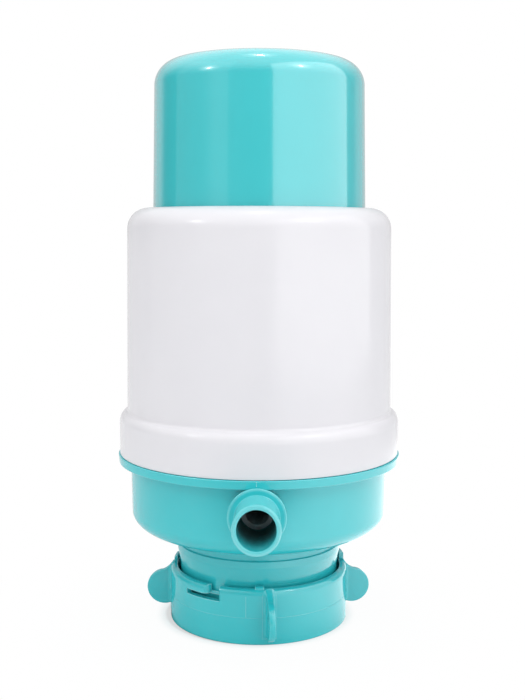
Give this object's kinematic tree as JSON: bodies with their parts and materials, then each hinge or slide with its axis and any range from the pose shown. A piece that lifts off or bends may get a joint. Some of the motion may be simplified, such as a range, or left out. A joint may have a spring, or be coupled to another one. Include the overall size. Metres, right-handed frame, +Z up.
{
  "type": "hand pump",
  "caption": "Hand pump for a large water jug: a sprung press cap over a bellows, a bowl with a front outlet socket, and a turning locking collar for the jug's neck.",
  "frame": {"origin": "Bottom centre of the bounding box, in the plane of the locking collar's underside. The pump's own vertical axis stands 6.775 mm behind it, because the outlet socket reaches forward.", "axes": "+Z up along the pump's axis, -Y to the front, where the outlet socket points, +X to the right of someone who faces the outlet"},
  "size_m": [0.1128, 0.1264, 0.2245],
  "materials": {
    "teal_plastic": "glossy injection-moulded plastic, teal",
    "white_plastic": "glossy injection-moulded plastic, white",
    "inner_plastic": "plain moulded plastic, off-white",
    "pale_rubber": "soft moulded rubber, pale grey",
    "dark_rubber": "moulded rubber, dark grey",
    "steel": "bright stainless steel"
  },
  "bodies": {
    "base": {"base_bowl": "teal_plastic", "neck_gasket": "dark_rubber", "clamp_ring": "white_plastic", "riser": "inner_plastic", "outlet_socket": "teal_plastic", "outlet_washer": "dark_rubber", "outlet_nut": "inner_plastic", "plate_seal": "dark_rubber", "valve_plate": "inner_plastic", "bellows": "pale_rubber", "bellows_retainer": "inner_plastic", "return_spring": "steel", "outer_casing": "white_plastic", "plate_screw_1": "steel", "plate_screw_2": "steel", "plate_screw_3": "steel", "plate_screw_4": "steel", "delivery_valve_disc": "dark_rubber", "delivery_valve_cage": "inner_plastic"},
    "press": {"press_cap": "teal_plastic", "bellows_top_plate": "inner_plastic", "intake_valve_disc": "dark_rubber", "intake_valve_cage": "inner_plastic"},
    "collar": {"locking_collar": "teal_plastic"}
  },
  "joints": [
    {"name": "press_slide", "type": "slide", "parent": "base", "child": "press", "axis": [0, 0, -1], "range_m": [0, 0.048], "stiffness_N_per_m": 500, "springref_m": -0.03, "deforming": ["bellows", "return_spring"]},
    {"name": "collar_turn", "type": "hinge", "parent": "base", "child": "collar", "pos_m": [0, 0.00677, 0], "axis": [0, 0, 1], "range_deg": [0, 16]}
  ]
}
